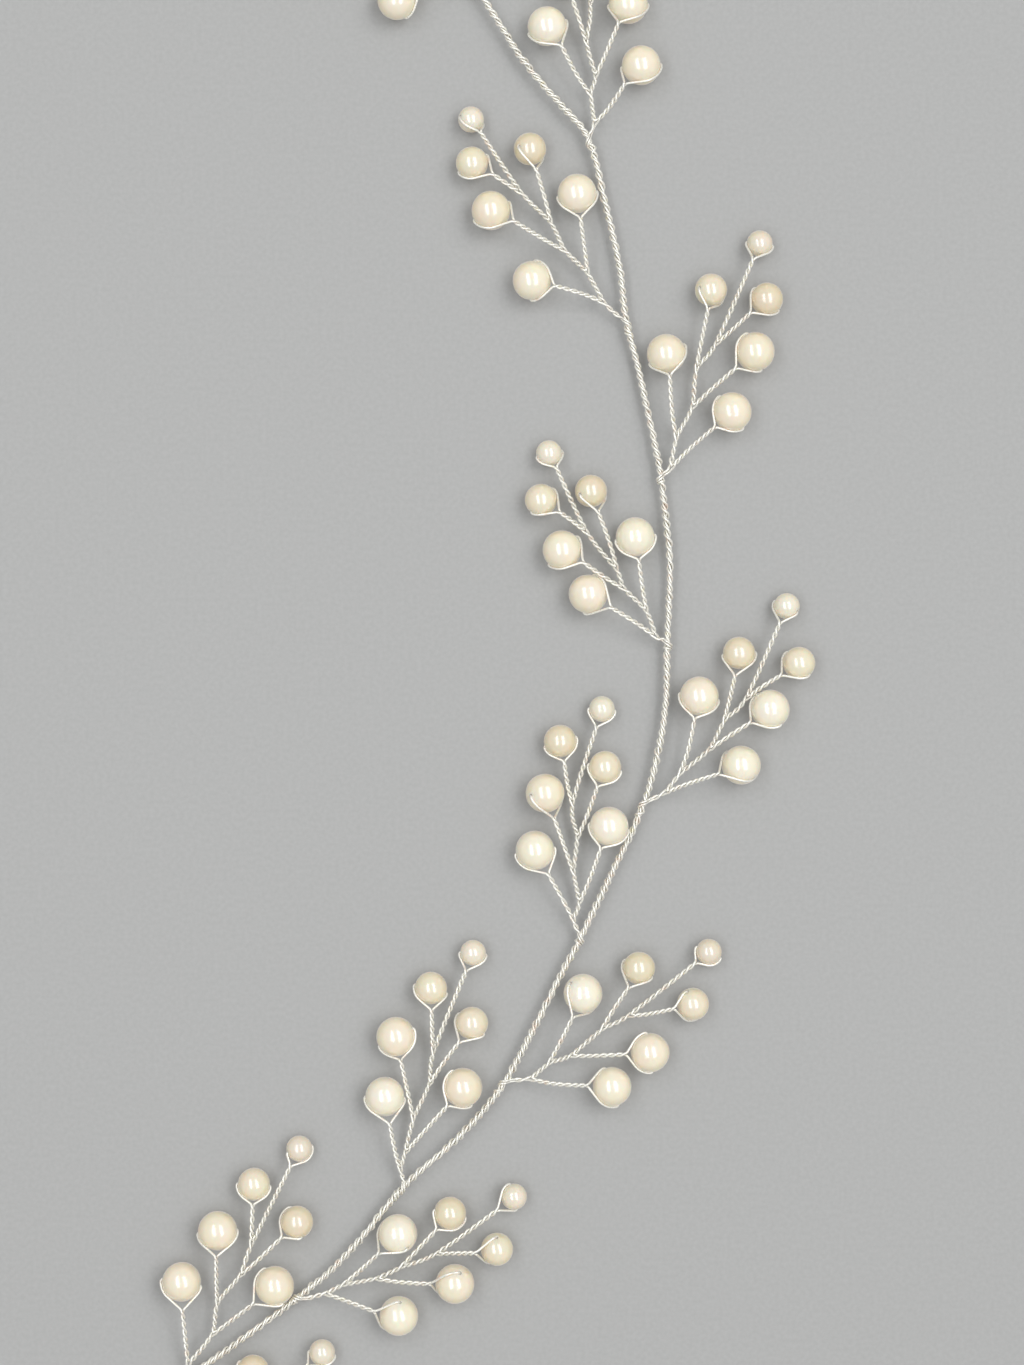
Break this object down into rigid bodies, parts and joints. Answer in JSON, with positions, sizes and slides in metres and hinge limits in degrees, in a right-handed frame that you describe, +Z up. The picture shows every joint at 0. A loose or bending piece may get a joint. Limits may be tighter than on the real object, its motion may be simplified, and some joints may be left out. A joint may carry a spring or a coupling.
{
  "type": "hair vine",
  "caption": "Hair vine of twisted silver wire lying in an S, with branching wire sprigs of ivory imitation pearls on both sides and a pin loop at each end.",
  "frame": {"origin": "under the middle of the vine's bounding box, on the surface that the pearls rest on", "axes": "+Z up from the surface, +Y along the vine towards its top end, +X to its right seen from above"},
  "size_m": [0.1108, 0.2542, 0.006],
  "materials": {
    "pearl": "pearlescent ivory lacquer, glossy",
    "wire": "pale silver plate on soft wire, bright"
  },
  "bodies": {
    "root": {"stem_wire": "wire", "sprig_01_wire": "wire", "sprig_02_wire": "wire", "sprig_03_wire": "wire", "sprig_04_wire": "wire", "sprig_05_wire": "wire", "sprig_06_wire": "wire", "sprig_07_wire": "wire", "sprig_08_wire": "wire", "sprig_09_wire": "wire", "sprig_10_wire": "wire", "sprig_11_wire": "wire", "sprig_12_wire": "wire", "sprig_01_pearls": "pearl", "sprig_02_pearls": "pearl", "sprig_03_pearls": "pearl", "sprig_04_pearls": "pearl", "sprig_05_pearls": "pearl", "sprig_06_pearls": "pearl", "sprig_07_pearls": "pearl", "sprig_08_pearls": "pearl", "sprig_09_pearls": "pearl", "sprig_10_pearls": "pearl", "sprig_11_pearls": "pearl", "sprig_12_pearls": "pearl"}
  },
  "joints": []
}
